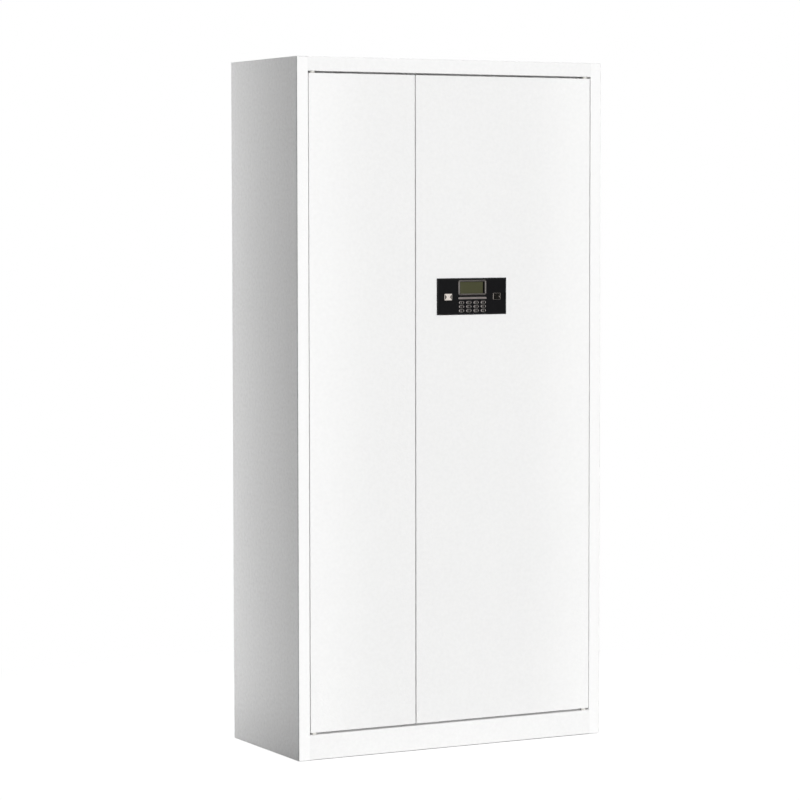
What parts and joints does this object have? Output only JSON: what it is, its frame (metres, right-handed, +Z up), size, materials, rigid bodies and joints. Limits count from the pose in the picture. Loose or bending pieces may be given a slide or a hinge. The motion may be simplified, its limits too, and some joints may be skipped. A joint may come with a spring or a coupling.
{
  "type": "locking file cabinet",
  "caption": "Tall free-standing steel file cabinet with flush hinged doors of unequal width, hung shelves and a keypad lock that drives a latch and locking rods.",
  "frame": {"origin": "on the floor, under the middle of the cabinet's box", "axes": "+X to the right seen from the front, +Y to the back, +Z up"},
  "size_m": [0.9, 0.4074, 1.8],
  "materials": {
    "white_paint": "white powder coat with a fine orange peel, satin",
    "black_plastic": "satin black moulding",
    "keypad": "plated keys with dark numbers",
    "silver_trim": "bright plated silver",
    "lcd_glass": "olive display behind a glossy window",
    "zinc_steel": "zinc-plated steel",
    "white_nylon": "natural nylon",
    "brass": "turned brass",
    "green_board": "green solder mask"
  },
  "bodies": {
    "cabinet": {"left_side_panel": "white_paint", "right_side_panel": "white_paint", "top_panel": "white_paint", "bottom_panel": "white_paint", "back_panel": "white_paint", "front_left_upright": "white_paint", "rear_left_upright": "white_paint", "front_right_upright": "white_paint", "rear_right_upright": "white_paint", "shelf_1": "white_paint", "shelf_2": "white_paint", "shelf_3": "white_paint", "shelf_4": "white_paint", "left_top_hinge_pin": "zinc_steel", "left_bottom_hinge_pin": "zinc_steel", "right_top_hinge_pin": "zinc_steel", "right_bottom_hinge_pin": "zinc_steel"},
    "left_door": {"left_door": "white_paint", "left_door_stiffener": "white_paint", "left_top_hinge_bush": "white_nylon", "left_bottom_hinge_bush": "white_nylon"},
    "right_door": {"right_door": "white_paint", "right_door_stiffener": "white_paint", "right_top_hinge_bush": "white_nylon", "right_bottom_hinge_bush": "white_nylon", "lock_bezel": "black_plastic", "display_frame": "silver_trim", "display_glass": "lcd_glass", "trim_bar": "silver_trim", "lock_cylinder": "zinc_steel", "power_socket": "black_plastic", "circuit_board": "green_board", "lock_case": "zinc_steel", "lock_case_cover": "zinc_steel", "battery_box": "black_plastic", "lock_motor": "zinc_steel", "upper_rod_guide": "zinc_steel", "lower_rod_guide": "zinc_steel"},
    "left_top_bolt": {"left_top_bolt": "zinc_steel"},
    "left_bottom_bolt": {"left_bottom_bolt": "zinc_steel"},
    "bottom_rod": {"bottom_rod": "zinc_steel"},
    "top_rod": {"top_rod": "zinc_steel"},
    "latch_bolt": {"latch_bolt": "zinc_steel"},
    "drive_pinion": {"drive_pinion": "zinc_steel"},
    "motor_gear": {"motor_gear": "brass"},
    "key_plug": {"key_plug": "brass"},
    "left_key_cover": {"left_key_cover": "silver_trim"},
    "right_key_cover": {"right_key_cover": "silver_trim"},
    "key_01": {"key_01": "keypad"},
    "key_02": {"key_02": "keypad"},
    "key_03": {"key_03": "keypad"},
    "key_04": {"key_04": "keypad"},
    "key_05": {"key_05": "keypad"},
    "key_06": {"key_06": "keypad"},
    "key_07": {"key_07": "keypad"},
    "key_08": {"key_08": "keypad"},
    "key_09": {"key_09": "keypad"},
    "key_10": {"key_10": "keypad"},
    "key_11": {"key_11": "keypad"},
    "key_12": {"key_12": "keypad"}
  },
  "joints": [
    {"name": "left_door_swing", "type": "hinge", "parent": "cabinet", "child": "left_door", "pos_m": [-0.4035, -0.18945, 0.9], "axis": [0, 0, -1], "range_deg": [0, 120]},
    {"name": "right_door_swing", "type": "hinge", "parent": "cabinet", "child": "right_door", "pos_m": [0.4035, -0.18945, 0.9], "axis": [0, 0, 1], "range_deg": [0, 120]},
    {"name": "left_top_bolt_slide", "type": "slide", "parent": "left_door", "child": "left_top_bolt", "axis": [0, 0, 1], "range_m": [0, 0.016]},
    {"name": "left_bottom_bolt_slide", "type": "slide", "parent": "left_door", "child": "left_bottom_bolt", "axis": [0, 0, -1], "range_m": [0, 0.016]},
    {"name": "bottom_rod_slide", "type": "slide", "parent": "right_door", "child": "bottom_rod", "axis": [0, 0, -1], "range_m": [0, 0.016]},
    {"name": "top_rod_slide", "type": "slide", "parent": "right_door", "child": "top_rod", "axis": [0, 0, 1], "range_m": [0, 0.016]},
    {"name": "latch_slide", "type": "slide", "parent": "right_door", "child": "latch_bolt", "axis": [-1, 0, 0], "range_m": [0, 0.016]},
    {"name": "pinion_turn", "type": "hinge", "parent": "right_door", "child": "drive_pinion", "pos_m": [0.02, -0.17625, 1.1852], "axis": [0, 1, 0], "range_deg": [0, 76.5]},
    {"name": "motor_turn", "type": "hinge", "parent": "right_door", "child": "motor_gear", "pos_m": [0.02, -0.17625, 1.2072], "axis": [0, 1, 0], "range_deg": [-92, 0]},
    {"name": "key_turn", "type": "hinge", "parent": "right_door", "child": "key_plug", "pos_m": [-0.012, -0.19, 1.1842], "axis": [0, 1, 0], "range_deg": [0, 90]},
    {"name": "left_cover_slide", "type": "slide", "parent": "right_door", "child": "left_key_cover", "axis": [-1, 0, 0], "range_m": [0, 0.015]},
    {"name": "right_cover_slide", "type": "slide", "parent": "right_door", "child": "right_key_cover", "axis": [1, 0, 0], "range_m": [0, 0.015]},
    {"name": "key_01_press", "type": "slide", "parent": "right_door", "child": "key_01", "axis": [0, 1, 0], "range_m": [0, 0.001], "stiffness_N_per_m": 600},
    {"name": "key_02_press", "type": "slide", "parent": "right_door", "child": "key_02", "axis": [0, 1, 0], "range_m": [0, 0.001], "stiffness_N_per_m": 600},
    {"name": "key_03_press", "type": "slide", "parent": "right_door", "child": "key_03", "axis": [0, 1, 0], "range_m": [0, 0.001], "stiffness_N_per_m": 600},
    {"name": "key_04_press", "type": "slide", "parent": "right_door", "child": "key_04", "axis": [0, 1, 0], "range_m": [0, 0.001], "stiffness_N_per_m": 600},
    {"name": "key_05_press", "type": "slide", "parent": "right_door", "child": "key_05", "axis": [0, 1, 0], "range_m": [0, 0.001], "stiffness_N_per_m": 600},
    {"name": "key_06_press", "type": "slide", "parent": "right_door", "child": "key_06", "axis": [0, 1, 0], "range_m": [0, 0.001], "stiffness_N_per_m": 600},
    {"name": "key_07_press", "type": "slide", "parent": "right_door", "child": "key_07", "axis": [0, 1, 0], "range_m": [0, 0.001], "stiffness_N_per_m": 600},
    {"name": "key_08_press", "type": "slide", "parent": "right_door", "child": "key_08", "axis": [0, 1, 0], "range_m": [0, 0.001], "stiffness_N_per_m": 600},
    {"name": "key_09_press", "type": "slide", "parent": "right_door", "child": "key_09", "axis": [0, 1, 0], "range_m": [0, 0.001], "stiffness_N_per_m": 600},
    {"name": "key_10_press", "type": "slide", "parent": "right_door", "child": "key_10", "axis": [0, 1, 0], "range_m": [0, 0.001], "stiffness_N_per_m": 600},
    {"name": "key_11_press", "type": "slide", "parent": "right_door", "child": "key_11", "axis": [0, 1, 0], "range_m": [0, 0.001], "stiffness_N_per_m": 600},
    {"name": "key_12_press", "type": "slide", "parent": "right_door", "child": "key_12", "axis": [0, 1, 0], "range_m": [0, 0.001], "stiffness_N_per_m": 600}
  ],
  "couplings": [
    {"joint": "top_rod_slide", "follows": "bottom_rod_slide", "ratio": 1},
    {"joint": "latch_slide", "follows": "bottom_rod_slide", "ratio": 1},
    {"joint": "pinion_turn", "follows": "bottom_rod_slide", "rad_per_m": 83.333},
    {"joint": "motor_turn", "follows": "bottom_rod_slide", "rad_per_m": -100}
  ]
}
